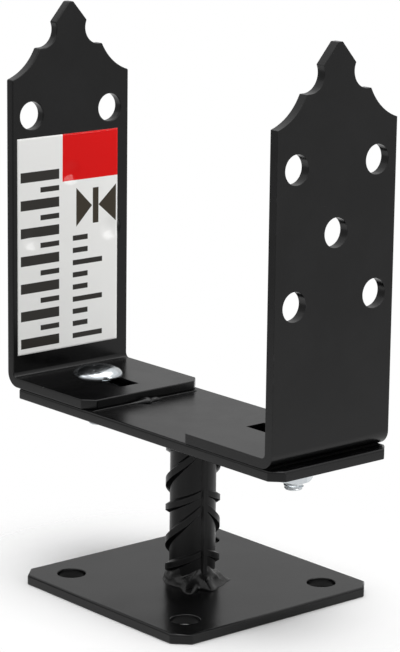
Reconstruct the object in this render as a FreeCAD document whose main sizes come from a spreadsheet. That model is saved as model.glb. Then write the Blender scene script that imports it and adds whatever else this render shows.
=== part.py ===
"""Adjustable timber post base.

Two bent side brackets clamp a post between them. Each is held by a carriage bolt to a carrier
plate with two slots, and the carrier plate stands on a ribbed bar welded to a square base plate.
Millimetres, +Z up, origin at the centre of the base plate's underside, +X along the carrier plate.
"""
import FreeCAD, Part
import math
import os

import Sketcher

# The driving dimensions, in millimetres and degrees. Each one becomes a cell of the sheet.
SIZES = {
    # square base plate with cut corners and four anchor holes
    "base_side": 102.0,
    "base_thick": 4.1,
    "base_corner": 6.0,
    "anchor_pitch": 71.4,
    "anchor_bore": 11.5,
    # the rolled upper edge that the blanking tool leaves on both flat plates
    "edge_roll": 1.0,
    # ribbed bar between the two plates, welded a little off their centre
    "stem_length": 63.2,
    "stem_shift_x": 0.5,
    "stem_shift_y": -2.5,
    "bar_core": 18.5,
    "bar_turn": -10.4,
    "spine_width": 3.0,
    "spine_crest": 1.5,
    "spine_height": 1.3,
    "spine_root_depth": 0.5,
    "rib_height": 1.9,
    "rib_foot": 4.2,
    "rib_crest": 2.2,
    "rib_root_depth": 1.0,
    "rib_end_turn": 6.0,
    "rib_pitch": 12.45,
    "first_rib": 7.5,
    "shallow_rise": 6.8,
    "steep_rise": 13.6,
    # weld beads round the two ends of the bar, the lower one heavier towards the front spine
    "weld_reach": 4.6,
    "weld_height": 5.4,
    "weld_lean": 1.6,
    "weld_root_depth": 1.5,
    "top_weld_reach": 3.6,
    "top_weld_height": 3.8,
    # carrier plate with one slot for each bolt; a slot's ends are given as places of the bolt axis
    "carrier_length": 163.0,
    "carrier_shift": -1.4,
    "carrier_width": 60.2,
    "carrier_thick": 4.2,
    "carrier_corner": 4.7,
    "carrier_slot_start": 43.5,
    "carrier_slot_end": 65.5,
    "slot_width": 9.0,
    # a slot's round end stays this little short of a half circle, which its radius couldn't hold
    "slot_end_ease": 0.0001,
    # side brackets, bent from one sheet; heights are from the underside of the flange
    "sheet_thick": 4.0,
    "bend_radius": 2.0,
    "bracket_width": 60.0,
    "flange_length": 54.0,
    "flange_corner": 4.5,
    "flange_slot_start": 16.2,
    "flange_slot_end": 43.0,
    "shoulder_height": 127.3,
    "shoulder_arc": 22.5,
    "ledge_height": 139.2,
    "ledge_outer": 16.2,
    "ledge_inner": 14.3,
    "neck_arc": 7.0,
    "spear_height": 149.3,
    "spear_half": 8.2,
    "tip_height": 157.3,
    "tip_half": 1.2,
    "post_bore": 11.5,
    "post_hole_pitch": 40.4,
    "low_row_height": 61.1,
    "row_pitch": 25.5,
    # where each bracket is clamped: bolt axis from the middle, outer face from the bolt axis
    "left_bolt_reach": 64.1,
    "right_bolt_reach": 57.0,
    "left_setback": 22.2,
    "right_setback": 20.3,
    # carriage bolt, washer and nut
    "bolt_shank": 8.0,
    "bolt_length": 20.5,
    "bolt_end_chamfer": 0.8,
    "neck_depth": 3.6,
    "head_width": 20.4,
    "head_height": 4.4,
    "head_rim": 0.7,
    "washer_width": 24.0,
    "washer_thick": 2.0,
    "washer_clearance": 0.2,
    "nut_flats": 13.0,
    "nut_height": 6.8,
    "nut_chamfer": 1.1,
    "nut_face_ease": 0.15,
    # paper label on the inner face of the left bracket
    "label_width": 51.5,
    "label_height": 90.3,
    "label_thick": 0.15,
    "label_rise": 13.4,
    "label_shift": -2.65,
}

# Heights and places that several pieces share, as expressions of the sheet.
CARRIER_BOTTOM = "(sizes.base_thick + sizes.stem_length)"
CARRIER_TOP = "(sizes.base_thick + sizes.stem_length + sizes.carrier_thick)"
FLANGE_TOP = "(sizes.base_thick + sizes.stem_length + sizes.carrier_thick + sizes.sheet_thick)"
LEFT_FACE = "(-sizes.left_bolt_reach - sizes.left_setback)"
RIGHT_FACE = "(sizes.right_bolt_reach + sizes.right_setback)"

# The weld beads' handmade unevenness, as shares of a bead's reach and height and in degrees.
WELD_SWING, WELD_SWING_TURN = 0.12, 34
WELD_DIP, WELD_DIP_TURN = 0.14, 63
WELD_CROWN_OUT, WELD_CROWN_UP = 0.62, 0.66

# How many sections shape one crescent rib and one weld bead.
RIB_SECTIONS = 9
WELD_SECTIONS = 14

doc = FreeCAD.newDocument("post_base")
sheet = doc.addObject("Spreadsheet::Sheet", "sizes")
for row, (alias, number) in enumerate(SIZES.items(), start=1):
    sheet.set("A%d" % row, alias)
    sheet.set("B%d" % row, str(number))
    sheet.setAlias("B%d" % row, alias)
doc.recompute()


# ---------------------------------------------------------------- tools for sketches and bodies
def new_body(label):
    """Add an empty body whose label names the piece."""
    body = doc.addObject("PartDesign::Body", label)
    body.Label = label
    return body


def bind(thing, **expressions):
    """Tie properties of an object to expressions of the sheet."""
    for name, text in expressions.items():
        thing.setExpression(name, text)


def place(thing, x="0", y="0", z="0"):
    """Tie the place of an object to expressions of the sheet."""
    thing.setExpression("Placement.Base.x", x)
    thing.setExpression("Placement.Base.y", y)
    thing.setExpression("Placement.Base.z", z)


def new_sketch(body, name, plane, height="0"):
    """Add a sketch on one of the body's own origin planes, lifted by an expression."""
    sketch = body.newObject("Sketcher::SketchObject", name)
    support = next(f for f in body.Origin.OriginFeatures if f.Role == plane)
    sketch.AttachmentSupport = [(support, "")]
    sketch.MapMode = "FlatFace"
    sketch.setExpression("AttachmentOffset.Base.z", height)
    return sketch


def fix_point(sketch, geometry, end, x, y):
    """Dimension one point of a sketch from the origin with two expressions."""
    for kind, text in (("DistanceX", x), ("DistanceY", y)):
        now = sketch.evalExpression(text)
        index = sketch.addConstraint(Sketcher.Constraint(kind, -1, 1, geometry, end, now))
        sketch.setExpression("Constraints[%d]" % index, text)


def draw_loop(sketch, corners, arcs=None):
    """Draw a closed outline through corners, pairs of expressions.

    arcs maps the number of a side to its radius and to the side of the chord, 1 for left and
    -1 for right, on which the arc's centre lies. Every other side is straight.
    """
    arcs = arcs or {}
    points = [
        FreeCAD.Vector(sketch.evalExpression(x), sketch.evalExpression(y), 0)
        for x, y in corners
    ]
    sides = []
    for number, start in enumerate(points):
        end = points[(number + 1) % len(points)]
        if number in arcs:
            radius_text, hand = arcs[number]
            radius = sketch.evalExpression(radius_text)
            chord = end - start
            left = FreeCAD.Vector(-chord.y, chord.x, 0).normalize()
            offset = math.sqrt(radius ** 2 - chord.Length ** 2 / 4)
            centre = start + chord * 0.5 + left * offset * hand
            middle = centre - left * radius * hand
            # a sketch keeps its arcs anticlockwise, so one with its centre on the right runs back
            first, last = (start, end) if hand == 1 else (end, start)
            side = sketch.addGeometry(Part.Arc(first, middle, last))
            index = sketch.addConstraint(Sketcher.Constraint("Radius", side, radius))
            sketch.setExpression("Constraints[%d]" % index, radius_text)
            sides.append((side, 1, 2) if hand == 1 else (side, 2, 1))
        else:
            side = sketch.addGeometry(Part.LineSegment(start, end))
            sides.append((side, 1, 2))
    for number, (side, first, last) in enumerate(sides):
        following, following_first, _ = sides[(number + 1) % len(sides)]
        sketch.addConstraint(
            Sketcher.Constraint("Coincident", side, last, following, following_first)
        )
        fix_point(sketch, side, first, *corners[number])


def draw_circle(sketch, diameter, x="0", y="0"):
    """Draw a circle whose diameter and centre are expressions."""
    radius = sketch.evalExpression(diameter) / 2
    centre = FreeCAD.Vector(sketch.evalExpression(x), sketch.evalExpression(y), 0)
    circle = sketch.addGeometry(Part.Circle(centre, FreeCAD.Vector(0, 0, 1), radius))
    index = sketch.addConstraint(Sketcher.Constraint("Diameter", circle, 2 * radius))
    sketch.setExpression("Constraints[%d]" % index, diameter)
    fix_point(sketch, circle, 3, x, y)


def octagon_corners(length, width, cut):
    """Corners of a rectangle with its four corners cut at 45 degrees, as expressions."""
    x, y = "(%s / 2)" % length, "(%s / 2)" % width
    return [
        ("%s - %s" % (x, cut), "-" + y),
        (x, "%s - %s" % (cut, y)),
        (x, "%s - %s" % (y, cut)),
        ("%s - %s" % (x, cut), y),
        ("%s - %s" % (cut, x), y),
        ("-" + x, "%s - %s" % (y, cut)),
        ("-" + x, "%s - %s" % (cut, y)),
        ("%s - %s" % (cut, x), "-" + y),
    ]


def pad(body, sketch, length, midplane=False):
    """Raise a sketch into a solid."""
    feature = body.newObject("PartDesign::Pad", "Pad")
    feature.Profile = sketch
    feature.SideType = "Symmetric" if midplane else "One side"
    bind(feature, Length=length)
    doc.recompute()
    return feature


def cut_through(body, sketch):
    """Cut a sketch right through the body, both ways."""
    before = body.Shape.Volume
    feature = body.newObject("PartDesign::Pocket", "Pocket")
    feature.Profile = sketch
    feature.Type = "ThroughAll"
    feature.SideType = "Symmetric"
    doc.recompute()
    if not body.Shape.Volume < before - 1e-6:
        raise RuntimeError("the cut %s removes nothing" % sketch.Label)
    return feature


def roll_upper_edge(body, solid, is_rolled):
    """Round the edges of the last feature that is_rolled picks, by the plates' edge roll."""
    chosen = [
        "Edge%d" % (number + 1)
        for number, edge in enumerate(solid.Shape.Edges)
        if is_rolled(edge.BoundBox)
    ]
    feature = body.newObject("PartDesign::Fillet", "EdgeRoll")
    feature.Base = (solid, chosen)
    bind(feature, Radius="sizes.edge_roll")
    doc.recompute()
    return feature


# ---------------------------------------------------------------- flat plates
def make_base_plate():
    """Square plate with cut corners, a rolled upper edge and an anchor hole near each corner."""
    body = new_body("base_plate")
    outline = new_sketch(body, "PlateOutline", "XY_Plane")
    draw_loop(outline, octagon_corners("sizes.base_side", "sizes.base_side", "sizes.base_corner"))
    plate = pad(body, outline, "sizes.base_thick")
    top = plate.Shape.BoundBox.ZMax
    roll_upper_edge(body, plate, lambda box: box.ZMin > top - 1e-6)
    hole = new_sketch(body, "AnchorHole", "XY_Plane")
    draw_circle(hole, "sizes.anchor_bore", "sizes.anchor_pitch / 2", "sizes.anchor_pitch / 2")
    drilled = cut_through(body, hole)
    ring = body.newObject("PartDesign::PolarPattern", "AnchorHoles")
    ring.Originals = [drilled]
    ring.Axis = (next(f for f in body.Origin.OriginFeatures if f.Role == "Z_Axis"), [""])
    ring.Angle = 360
    ring.Occurrences = 4
    body.Tip = ring
    doc.recompute()
    return body


def make_carrier_plate():
    """Long plate with cut corners and a rolled upper edge, slotted for the two bolts."""
    body = new_body("carrier_plate")
    outline = new_sketch(body, "PlateOutline", "XY_Plane")
    draw_loop(
        outline,
        octagon_corners("sizes.carrier_length", "sizes.carrier_width", "sizes.carrier_corner"),
    )
    plate = pad(body, outline, "sizes.carrier_thick")
    top = plate.Shape.BoundBox.ZMax
    roll_upper_edge(body, plate, lambda box: box.ZMin > top - 1e-6)
    slots = new_sketch(body, "BoltSlots", "XY_Plane")
    half = "sizes.slot_width / 2"
    round_end = half + " + sizes.slot_end_ease"
    for sign, first, last in (("-", "end", "start"), ("", "start", "end")):
        near = "%ssizes.carrier_slot_%s" % (sign, first)
        far = "%ssizes.carrier_slot_%s" % (sign, last)
        # anticlockwise from the lower left: straight side, round end, straight side, round end
        draw_loop(
            slots,
            [(near, "-" + half), (far, "-" + half), (far, half), (near, half)],
            {1: (round_end, 1), 3: (round_end, 1)},
        )
    cut_through(body, slots)
    place(body, x="sizes.carrier_shift", z=CARRIER_BOTTOM)
    return body


# ---------------------------------------------------------------- ribbed bar and its welds
def size(alias):
    """Read one size from the sheet as a plain number."""
    return float(sheet.get(alias))


def make_crescent(middle, rise, side):
    """One crescent rib over half of the bar, a ridge that climbs evenly round the core.

    With turn counted from the front spine, its level is middle + rise * (1 - 2 * turn / pi) and
    its height swells as the sine of turn, so it dies out under the two spines. It is lofted
    through trapezoid sections, each in a plane that holds the bar's axis.
    """
    core = size("bar_core") / 2
    buried = core - size("rib_root_depth")
    flank = (size("rib_foot") - size("rib_crest")) / 2 / size("rib_height")
    stretch = math.hypot(1, 2 * rise / math.pi / core)
    sections = []
    end_turn = math.radians(size("rib_end_turn"))
    for step in range(RIB_SECTIONS):
        turn = end_turn + (math.pi - 2 * end_turn) * step / (RIB_SECTIONS - 1)
        top = core + size("rib_height") * math.sin(turn)
        crest = size("rib_crest") / 2 * stretch
        root = crest + flank * (top - buried) * stretch
        level = middle + rise * (1 - 2 * turn / math.pi)
        outline = [
            (buried, level - root),
            (top, level - crest),
            (top, level + crest),
            (buried, level + root),
        ]
        points = [
            FreeCAD.Vector(radius * math.cos(turn), side * radius * math.sin(turn), z)
            for radius, z in outline
        ]
        sections.append(Part.makePolygon(points + points[:1]))
    return Part.makeLoft(sections, True, False)


def make_spine(side):
    """One lengthwise rib of the bar, a flat-topped strip on the side given as 1 or -1."""
    half_foot, half_crest = size("spine_width") / 2, size("spine_crest") / 2
    root = size("bar_core") / 2 - size("spine_root_depth")
    crest = size("bar_core") / 2 + size("spine_height")
    outline = [
        (0, -half_foot),
        (root, -half_foot),
        (crest, -half_crest),
        (crest, half_crest),
        (root, half_foot),
        (0, half_foot),
    ]
    points = [FreeCAD.Vector(side * x, y, 0) for x, y in outline]
    face = Part.Face(Part.makePolygon(points + points[:1]))
    return face.extrude(FreeCAD.Vector(0, 0, size("stem_length")))


def make_ribbed_bar():
    """Round core with two spines and rings of crescent ribs, alternately shallow and steep."""
    length = size("stem_length")
    bar = Part.makeCylinder(size("bar_core") / 2, length)
    ribs = [make_spine(1), make_spine(-1)]
    level, steep = size("first_rib"), False
    while level < length:
        rise = size("steep_rise") if steep else size("shallow_rise")
        ribs += [make_crescent(level, rise, 1), make_crescent(level, rise, -1)]
        level += size("rib_pitch")
        steep = not steep
    outer = size("bar_core") / 2 + size("rib_height") + size("spine_height")
    bar = bar.fuse(ribs).common(Part.makeCylinder(outer, length))
    return bar.removeSplitter()


def make_weld_bead(reach, height, lean, bar):
    """An uneven weld bead round the bar, standing on z = 0.

    Each section is a bulging quarter round between plate and bar. Its reach is heavier by lean
    towards the front spine and swings five times round the bar; its height dips three times.
    """
    core = size("bar_core") / 2
    buried = core - size("weld_root_depth")
    swing_turn, dip_turn = math.radians(WELD_SWING_TURN), math.radians(WELD_DIP_TURN)
    sections = []
    for step in range(WELD_SECTIONS):
        turn = 2 * math.pi * step / WELD_SECTIONS
        swell = reach * (1 + WELD_SWING * math.sin(5 * turn + swing_turn)) + lean * math.cos(turn)
        rise = height * (1 - WELD_DIP + WELD_DIP * math.cos(3 * turn + dip_turn))
        toe = FreeCAD.Vector(core + swell, 0, 0)
        crown = FreeCAD.Vector(core + WELD_CROWN_OUT * swell, 0, WELD_CROWN_UP * rise)
        top = FreeCAD.Vector(buried, 0, rise)
        corner = FreeCAD.Vector(buried, 0, 0)
        section = Part.Wire(
            [
                Part.LineSegment(corner, toe).toShape(),
                Part.Arc(toe, crown, top).toShape(),
                Part.LineSegment(top, corner).toShape(),
            ]
        )
        section.rotate(FreeCAD.Vector(0, 0, 0), FreeCAD.Vector(0, 0, 1), math.degrees(turn))
        sections.append(section)
    bead = Part.makeLoft(sections, True, True, True)
    return bead.cut(bar)


def make_stem_and_welds():
    """The ribbed bar between the plates and the weld bead at each of its ends."""
    axis = FreeCAD.Vector(0, 0, 1)
    up = FreeCAD.Rotation(axis, size("bar_turn"))
    x, y = size("stem_shift_x"), size("stem_shift_y")
    foot = FreeCAD.Vector(x, y, size("base_thick"))
    head = FreeCAD.Vector(x, y, size("base_thick") + size("stem_length"))
    bar = make_ribbed_bar()
    lower = make_weld_bead(size("weld_reach"), size("weld_height"), size("weld_lean"), bar)
    over = FreeCAD.Rotation(FreeCAD.Vector(1, 0, 0), 180)
    bar_from_above = bar.copy()
    bar_from_above.Placement = FreeCAD.Placement(
        over.multVec(FreeCAD.Vector(0, 0, -size("stem_length"))), over
    )
    upper = make_weld_bead(size("top_weld_reach"), size("top_weld_height"), 0, bar_from_above)
    pieces = {
        "ribbed_stem": (bar, FreeCAD.Placement(foot, up)),
        "lower_weld": (lower, FreeCAD.Placement(foot, up)),
        "upper_weld": (upper, FreeCAD.Placement(head, up.multiply(over))),
    }
    made = []
    for label, (shape, placement) in pieces.items():
        piece = doc.addObject("Part::Feature", label)
        piece.Label = label
        piece.Shape = shape
        piece.Placement = placement
        made.append(piece)
    return made


# ---------------------------------------------------------------- side brackets
def make_bracket(label, face, turned):
    """Sheet bent into an upright and a flange, with a spear-shaped top, five post holes and a slot.

    In the bracket's own frame the upright's outer face is x = 0, the flange runs towards +X and
    z = 0 is the flange's underside.
    """
    body = new_body(label)
    sheet_text = "sizes.sheet_thick"
    outer_bend = "(sizes.sheet_thick + sizes.bend_radius)"
    profile = new_sketch(body, "BentProfile", "XZ_Plane")
    draw_loop(
        profile,
        [
            (outer_bend, "0"),
            ("sizes.flange_length", "0"),
            ("sizes.flange_length", sheet_text),
            (outer_bend, sheet_text),
            (sheet_text, outer_bend),
            (sheet_text, "sizes.tip_height"),
            ("0", "sizes.tip_height"),
            ("0", outer_bend),
        ],
        {3: ("sizes.bend_radius", -1), 7: (outer_bend, 1)},
    )
    pad(body, profile, "sizes.bracket_width", midplane=True)

    crown = new_sketch(body, "CrownCuts", "YZ_Plane")
    beyond = "(sizes.bracket_width / 2 + sizes.sheet_thick)"
    above = "(sizes.tip_height + sizes.sheet_thick)"
    for sign, hand in (("", -1), ("-", 1)):
        draw_loop(
            crown,
            [
                (sign + "sizes.bracket_width / 2", "sizes.shoulder_height"),
                (sign + "sizes.ledge_outer", "sizes.ledge_height"),
                (sign + "sizes.ledge_inner", "sizes.ledge_height"),
                (sign + "sizes.spear_half", "sizes.spear_height"),
                (sign + "sizes.tip_half", "sizes.tip_height"),
                (sign + "sizes.tip_half", above),
                (sign + beyond, above),
                (sign + beyond, "sizes.shoulder_height"),
            ],
            {0: ("sizes.shoulder_arc", hand), 2: ("sizes.neck_arc", hand)},
        )
    cut_through(body, crown)

    holes = new_sketch(body, "PostHoles", "YZ_Plane")
    row = "sizes.low_row_height"
    aside = "sizes.post_hole_pitch / 2"
    draw_circle(holes, "sizes.post_bore", "0", row + " + sizes.row_pitch")
    for sign in ("-", ""):
        draw_circle(holes, "sizes.post_bore", sign + aside, row)
        draw_circle(holes, "sizes.post_bore", sign + aside, row + " + 2 * sizes.row_pitch")
    cut_through(body, holes)

    flange = new_sketch(body, "FlangeCuts", "XY_Plane")
    half = "sizes.slot_width / 2"
    draw_loop(
        flange,
        [
            ("sizes.flange_slot_start", "-" + half),
            ("sizes.flange_slot_end", "-" + half),
            ("sizes.flange_slot_end", half),
            ("sizes.flange_slot_start", half),
        ],
    )
    for sign in ("-", ""):
        edge = sign + "sizes.bracket_width / 2"
        inner = "%s(sizes.bracket_width / 2 - sizes.flange_corner)" % sign
        draw_loop(
            flange,
            [
                ("sizes.flange_length - sizes.flange_corner", edge),
                ("sizes.flange_length", inner),
                ("sizes.flange_length + sizes.flange_corner", inner),
                ("sizes.flange_length + sizes.flange_corner", sign + beyond),
                ("sizes.flange_length - sizes.flange_corner", sign + beyond),
            ],
        )
    cut_through(body, flange)
    body.Placement.Rotation = FreeCAD.Rotation(FreeCAD.Vector(0, 0, 1), 180 if turned else 0)
    place(body, x=face, z=CARRIER_TOP)
    return body


def make_label():
    """Thin paper label on the left bracket's inner face."""
    label = doc.addObject("Part::Box", "label")
    label.Label = "label"
    bind(label, Length="sizes.label_thick", Width="sizes.label_width", Height="sizes.label_height")
    place(
        label,
        x=LEFT_FACE + " + sizes.sheet_thick",
        y="sizes.label_shift - sizes.label_width / 2",
        z=CARRIER_TOP + " + sizes.label_rise",
    )
    return label


# ---------------------------------------------------------------- fasteners
def make_bolt(label, reach):
    """Carriage bolt: domed head, square neck and round shank, with z = 0 under the head."""
    body = new_body(label)
    half_head, half_shank = "sizes.head_width / 2", "sizes.bolt_shank / 2"
    profile = new_sketch(body, "TurnedProfile", "XZ_Plane")
    dome = (
        "((sizes.head_width / 2) ^ 2 + (sizes.head_height - sizes.head_rim) ^ 2)"
        " / (2 * (sizes.head_height - sizes.head_rim))"
    )
    draw_loop(
        profile,
        [
            ("0", "-sizes.bolt_length"),
            (half_shank + " - sizes.bolt_end_chamfer", "-sizes.bolt_length"),
            (half_shank, "sizes.bolt_end_chamfer - sizes.bolt_length"),
            (half_shank, "0"),
            (half_head, "0"),
            (half_head, "sizes.head_rim"),
            ("0", "sizes.head_height"),
        ],
        {5: (dome, 1)},
    )
    turned = body.newObject("PartDesign::Revolution", "Turned")
    turned.Profile = profile
    turned.ReferenceAxis = (profile, ["V_Axis"])
    turned.Angle = 360
    doc.recompute()
    neck = new_sketch(body, "SquareNeck", "XY_Plane", "-sizes.neck_depth")
    draw_loop(
        neck,
        [
            ("-" + half_shank, "-" + half_shank),
            (half_shank, "-" + half_shank),
            (half_shank, half_shank),
            ("-" + half_shank, half_shank),
        ],
    )
    pad(body, neck, "sizes.neck_depth")
    place(body, x=reach, z=FLANGE_TOP)
    return body


def make_washer(label, reach):
    """Plain wide washer under the carrier plate."""
    body = new_body(label)
    ring = new_sketch(body, "Ring", "XY_Plane")
    draw_circle(ring, "sizes.washer_width")
    draw_circle(ring, "sizes.bolt_shank + 2 * sizes.washer_clearance")
    pad(body, ring, "sizes.washer_thick")
    place(body, x=reach, z=CARRIER_BOTTOM + " - sizes.washer_thick")
    return body


def make_nut(label, reach):
    """Hexagon nut, its corners turned off at both ends."""
    body = new_body(label)
    hexagon = new_sketch(body, "Hexagon", "XY_Plane")
    across = "sizes.nut_flats / sqrt(3)"
    corners = [
        ("%s * cos(%d)" % (across, turn), "%s * sin(%d)" % (across, turn))
        for turn in range(0, 360, 60)
    ]
    draw_loop(hexagon, corners)
    pad(body, hexagon, "sizes.nut_height")
    bore = new_sketch(body, "Bore", "XY_Plane")
    draw_circle(bore, "sizes.bolt_shank")
    cut_through(body, bore)
    flat = "sizes.nut_flats / 2 - sizes.nut_face_ease"
    tip = across + " + sizes.nut_chamfer"
    for end, level, inward in (
        ("Lower", "0", "sizes.nut_chamfer"),
        ("Upper", "sizes.nut_height", "sizes.nut_height - sizes.nut_chamfer"),
    ):
        corner_cut = new_sketch(body, end + "CornerCut", "XZ_Plane")
        draw_loop(corner_cut, [(flat, level), (tip, level), (tip, inward)])
        groove = body.newObject("PartDesign::Groove", end + "Corners")
        groove.Profile = corner_cut
        groove.ReferenceAxis = (corner_cut, ["V_Axis"])
        groove.Angle = 360
        doc.recompute()
    place(body, x=reach, z=CARRIER_BOTTOM + " - sizes.washer_thick - sizes.nut_height")
    return body


# ---------------------------------------------------------------- the whole part
def make_pieces():
    """Make every piece of the post base and return them."""
    pieces = [make_base_plate(), *make_stem_and_welds(), make_carrier_plate()]
    for side, face, reach, turned in (
        ("left", LEFT_FACE, "-sizes.left_bolt_reach", False),
        ("right", RIGHT_FACE, "sizes.right_bolt_reach", True),
    ):
        pieces.append(make_bracket(side + "_bracket", face, turned))
        pieces.append(make_bolt(side + "_bolt", reach))
        pieces.append(make_washer(side + "_washer", reach))
        pieces.append(make_nut(side + "_nut", reach))
    pieces.append(make_label())
    return pieces


def check_and_export(pieces):
    """Stop at any failed object or bad shape, then write one STEP file for each piece."""
    doc.recompute()
    for thing in doc.Objects:
        if "Invalid" in thing.State or "Error" in thing.State:
            raise RuntimeError("%s failed: %s" % (thing.Label, thing.State))
    for piece in pieces:
        if piece.Shape.isNull() or not piece.Shape.isValid() or len(piece.Shape.Solids) != 1:
            raise RuntimeError("%s is not one valid solid" % piece.Label)
    os.makedirs("parts", exist_ok=True)
    for piece in pieces:
        piece.Shape.exportStep("parts/%s.step" % piece.Label)
        box = piece.Shape.BoundBox
        print(
            "%-14s %9.1f mm3  x %7.2f %7.2f  y %7.2f %7.2f  z %7.2f %7.2f"
            % (piece.Label, piece.Shape.Volume, box.XMin, box.XMax, box.YMin, box.YMax,
               box.ZMin, box.ZMax)
        )


check_and_export(make_pieces())
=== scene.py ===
# %% [markdown]
# # Adjustable timber post base: from bare solids to a finished part
# The object is a steel foot for a timber post: a base plate, a ribbed bar welded to it, a slotted carrier
# plate and two bent brackets, black powder coated, clamped by two zinc plated carriage bolts. The packed
# solids are already the right size, so this script adds what a solid lacks: soft edges, finishes, a real
# weld bead, a run of coating, threads and a printed label. It could all be modelled again from nothing, but
# a dressed solid keeps its exact dimensions.

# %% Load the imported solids
import math
import bpy
import numpy as np
from mathutils import Matrix, Vector


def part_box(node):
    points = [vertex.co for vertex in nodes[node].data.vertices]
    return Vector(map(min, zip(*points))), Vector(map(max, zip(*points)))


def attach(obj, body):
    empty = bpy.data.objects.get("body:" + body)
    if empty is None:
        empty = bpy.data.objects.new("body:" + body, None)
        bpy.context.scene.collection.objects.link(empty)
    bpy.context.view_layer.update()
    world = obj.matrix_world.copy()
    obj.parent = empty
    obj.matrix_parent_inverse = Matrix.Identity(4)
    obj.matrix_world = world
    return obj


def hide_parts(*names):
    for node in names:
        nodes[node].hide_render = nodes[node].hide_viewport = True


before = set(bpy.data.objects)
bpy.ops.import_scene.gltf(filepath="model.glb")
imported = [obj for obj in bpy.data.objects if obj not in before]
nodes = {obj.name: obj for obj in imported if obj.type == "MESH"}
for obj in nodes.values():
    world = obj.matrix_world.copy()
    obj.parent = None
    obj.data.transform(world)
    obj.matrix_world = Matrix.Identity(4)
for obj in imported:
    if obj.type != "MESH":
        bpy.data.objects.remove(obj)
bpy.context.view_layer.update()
MM = 0.001
print("solids:", ", ".join(sorted(nodes)))

# %% [markdown]
# ## Helpers for surfaces
# Every new piece here is one grid of points: rows along the piece, columns around it. Blender's own
# primitives would be quicker, but a grid of computed points can follow any formula, and joining its rows
# and columns is the same few lines each time.

# %% Turn a grid of points into a mesh
def grid_faces(rows, columns, wrap):
    """Quads between neighbouring rows and columns. With wrap, the last column meets the first."""
    across = columns if wrap else columns - 1
    row = np.arange(rows - 1)[:, None]
    column = np.arange(across)[None, :]
    after = (column + 1) % columns
    near, far = row * columns, (row + 1) * columns
    return np.stack([near + column, near + after, far + after, far + column], axis=-1).reshape(-1, 4)


def make_piece(name, points, faces):
    """One smooth mesh object at the origin from an array of points in metres and a list of faces."""
    mesh = bpy.data.meshes.new(name)
    mesh.from_pydata(points.reshape(-1, 3).tolist(), [], [list(map(int, face)) for face in faces])
    mesh.polygons.foreach_set("use_smooth", [True] * len(mesh.polygons))
    mesh.update()
    piece = bpy.data.objects.new(name, mesh)
    bpy.context.scene.collection.objects.link(piece)
    print(f"{name}: {len(mesh.vertices)} points, {len(mesh.polygons)} faces")
    return piece


def tube_piece(name, rings):
    """A closed piece from rings of points, rows by columns by 3, its two ends shut by a centre point each."""
    rows, columns = rings.shape[:2]
    sides = grid_faces(rows, columns, wrap=True).tolist()
    ends = np.stack([rings[0].mean(0), rings[-1].mean(0)])
    first, last = rows * columns, rows * columns + 1
    column = np.arange(columns)
    after = (column + 1) % columns
    start = np.stack([after, column, np.full(columns, first)], axis=-1).tolist()
    top = (rows - 1) * columns
    finish = np.stack([top + column, top + after, np.full(columns, last)], axis=-1).tolist()
    points = np.concatenate([rings.reshape(-1, 3), ends])
    return make_piece(name, points, sides + start + finish)

# %% [markdown]
# ### Unevenness
# A weld is laid by hand, so nothing in it repeats. A noise texture could push its surface about, but a sum
# of sine waves closes on itself around the piece without a seam, and comes out the same each time from its
# seed.

# %% Smooth uneven values for handmade surfaces
def uneven(angle, height, seed, waves=7, detail=3.0):
    """The sum of sin(around * angle + climb * height + start) over some waves. Each wave's around is a whole
    number, so the sum closes on itself, and a wave is the weaker the more often it goes around."""
    rng = np.random.default_rng(seed)
    total = np.zeros(np.broadcast(angle, height).shape)
    for _ in range(waves):
        around = rng.integers(1, 10)
        strength = rng.normal() / around ** 0.5
        climb = detail * rng.normal()
        start = rng.uniform(0, 6.28)
        total += strength * np.sin(around * angle + climb * height + start)
    return total / waves ** 0.5

# %% [markdown]
# ## Camera
# The part stands on a table a good metre from the lens. A long lens keeps its uprights nearly parallel. The
# camera is set by the angles of its view and by the point it looks at, which is easier to adjust than a
# place and three turns.

# %% Camera
VIEW_AZIMUTH, VIEW_ELEVATION, VIEW_ROLL = 49.42, 13.17, 0.71
VIEW_DISTANCE = 1.0594
VIEW_POINT = Vector((0.00243, -0.00152, 0.10904))
VIEW_LENS = 148.62


def add_camera():
    """The camera's axes: back along the view line, right level with the floor, both turned by the roll."""
    turn, lift, roll = (math.radians(a) for a in (VIEW_AZIMUTH, VIEW_ELEVATION, VIEW_ROLL))
    back = Vector((math.sin(turn) * math.cos(lift), -math.cos(turn) * math.cos(lift), math.sin(lift)))
    level = Vector((math.cos(turn), math.sin(turn), 0))
    upright = back.cross(level)
    right = level * math.cos(roll) + upright * math.sin(roll)
    up = upright * math.cos(roll) - level * math.sin(roll)
    axes = Matrix((right, up, back)).transposed().to_4x4()
    data = bpy.data.cameras.new("camera")
    data.lens = VIEW_LENS
    camera = bpy.data.objects.new("camera", data)
    camera.matrix_world = Matrix.Translation(VIEW_POINT + back * VIEW_DISTANCE) @ axes
    bpy.context.scene.collection.objects.link(camera)
    bpy.context.scene.camera = camera
    return camera


camera = add_camera()
print("camera at", tuple(round(v, 3) for v in camera.location))

# %% [markdown]
# ## Studio
# A product studio is a white sweep under large soft lamps. The world is white to the camera and in
# reflections, and weaker as a light, so the black coating keeps its depth. The floor is a real matt surface
# that takes the soft shadow, and fades into the white before its rim shows.

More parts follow.
